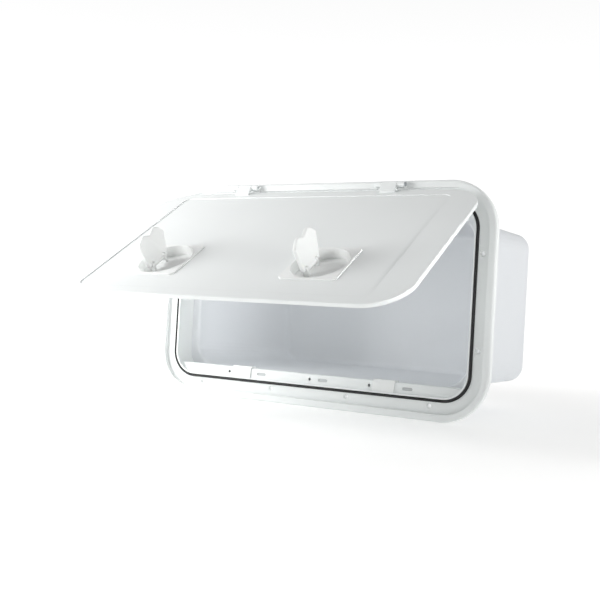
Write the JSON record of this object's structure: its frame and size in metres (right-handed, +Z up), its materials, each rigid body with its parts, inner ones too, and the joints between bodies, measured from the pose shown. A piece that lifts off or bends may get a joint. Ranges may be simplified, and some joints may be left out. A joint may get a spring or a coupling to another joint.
{
  "type": "caravan locker hatch",
  "caption": "Side-wall locker hatch for a caravan: screwed flange frame with seal, storage bin behind it, and a top-hung lid with lift-and-turn latches.",
  "frame": {"origin": "on the flange's back face, midway along its bottom row of screw holes", "axes": "+X to the right seen from outdoors, +Y through the wall into the vehicle, +Z up"},
  "size_m": [0.6, 0.6198, 0.355],
  "materials": {
    "shell": "smooth moulded white",
    "bin": "smooth formed white",
    "latch": "smooth moulded white",
    "seal": "matt black",
    "steel": "zinc plated"
  },
  "bodies": {
    "base": {"frame": "shell", "seal": "seal", "bin": "bin", "keeper_left": "latch", "keeper_right": "latch", "hinge_ears_left": "shell", "hinge_ears_right": "shell", "hinge_pin_left": "steel", "hinge_pin_right": "steel"},
    "lid": {"lid": "shell", "lid_knuckle_left": "shell", "lid_knuckle_right": "shell", "latch_case_left": "latch", "latch_case_right": "latch", "clamp_ring_left": "shell", "clamp_ring_right": "shell"},
    "latch_left": {"spindle_left": "latch", "cam_left": "steel", "cam_nut_left": "steel", "handle_pin_left": "steel"},
    "latch_right": {"spindle_right": "latch", "cam_right": "steel", "cam_nut_right": "steel", "handle_pin_right": "steel"},
    "handle_left": {"handle_left": "latch"},
    "handle_right": {"handle_right": "latch"}
  },
  "joints": [
    {"name": "lid_hinge", "type": "hinge", "parent": "base", "child": "lid", "pos_m": [0, -0.0157, 0.3265], "axis": [-1, 0, 0], "range_deg": [-57.4, 52.6]},
    {"name": "latch_turn_right", "type": "hinge", "parent": "lid", "child": "latch_right", "pos_m": [0.131, -0.2069, 0.18558], "axis": [0, 0.5388, -0.8425], "range_deg": [-90, 0]},
    {"name": "latch_turn_left", "type": "hinge", "parent": "lid", "child": "latch_left", "pos_m": [-0.131, -0.2069, 0.18558], "axis": [0, -0.5388, 0.8425], "range_deg": [-90, 0]},
    {"name": "handle_lift_right", "type": "hinge", "parent": "latch_right", "child": "handle_right", "pos_m": [0.115, -0.21041, 0.19106], "axis": [0, -0.8425, -0.5388], "range_deg": [-90, 0]},
    {"name": "handle_lift_left", "type": "hinge", "parent": "latch_left", "child": "handle_left", "pos_m": [-0.147, -0.21041, 0.19106], "axis": [0, -0.8425, -0.5388], "range_deg": [-90, 0]}
  ]
}
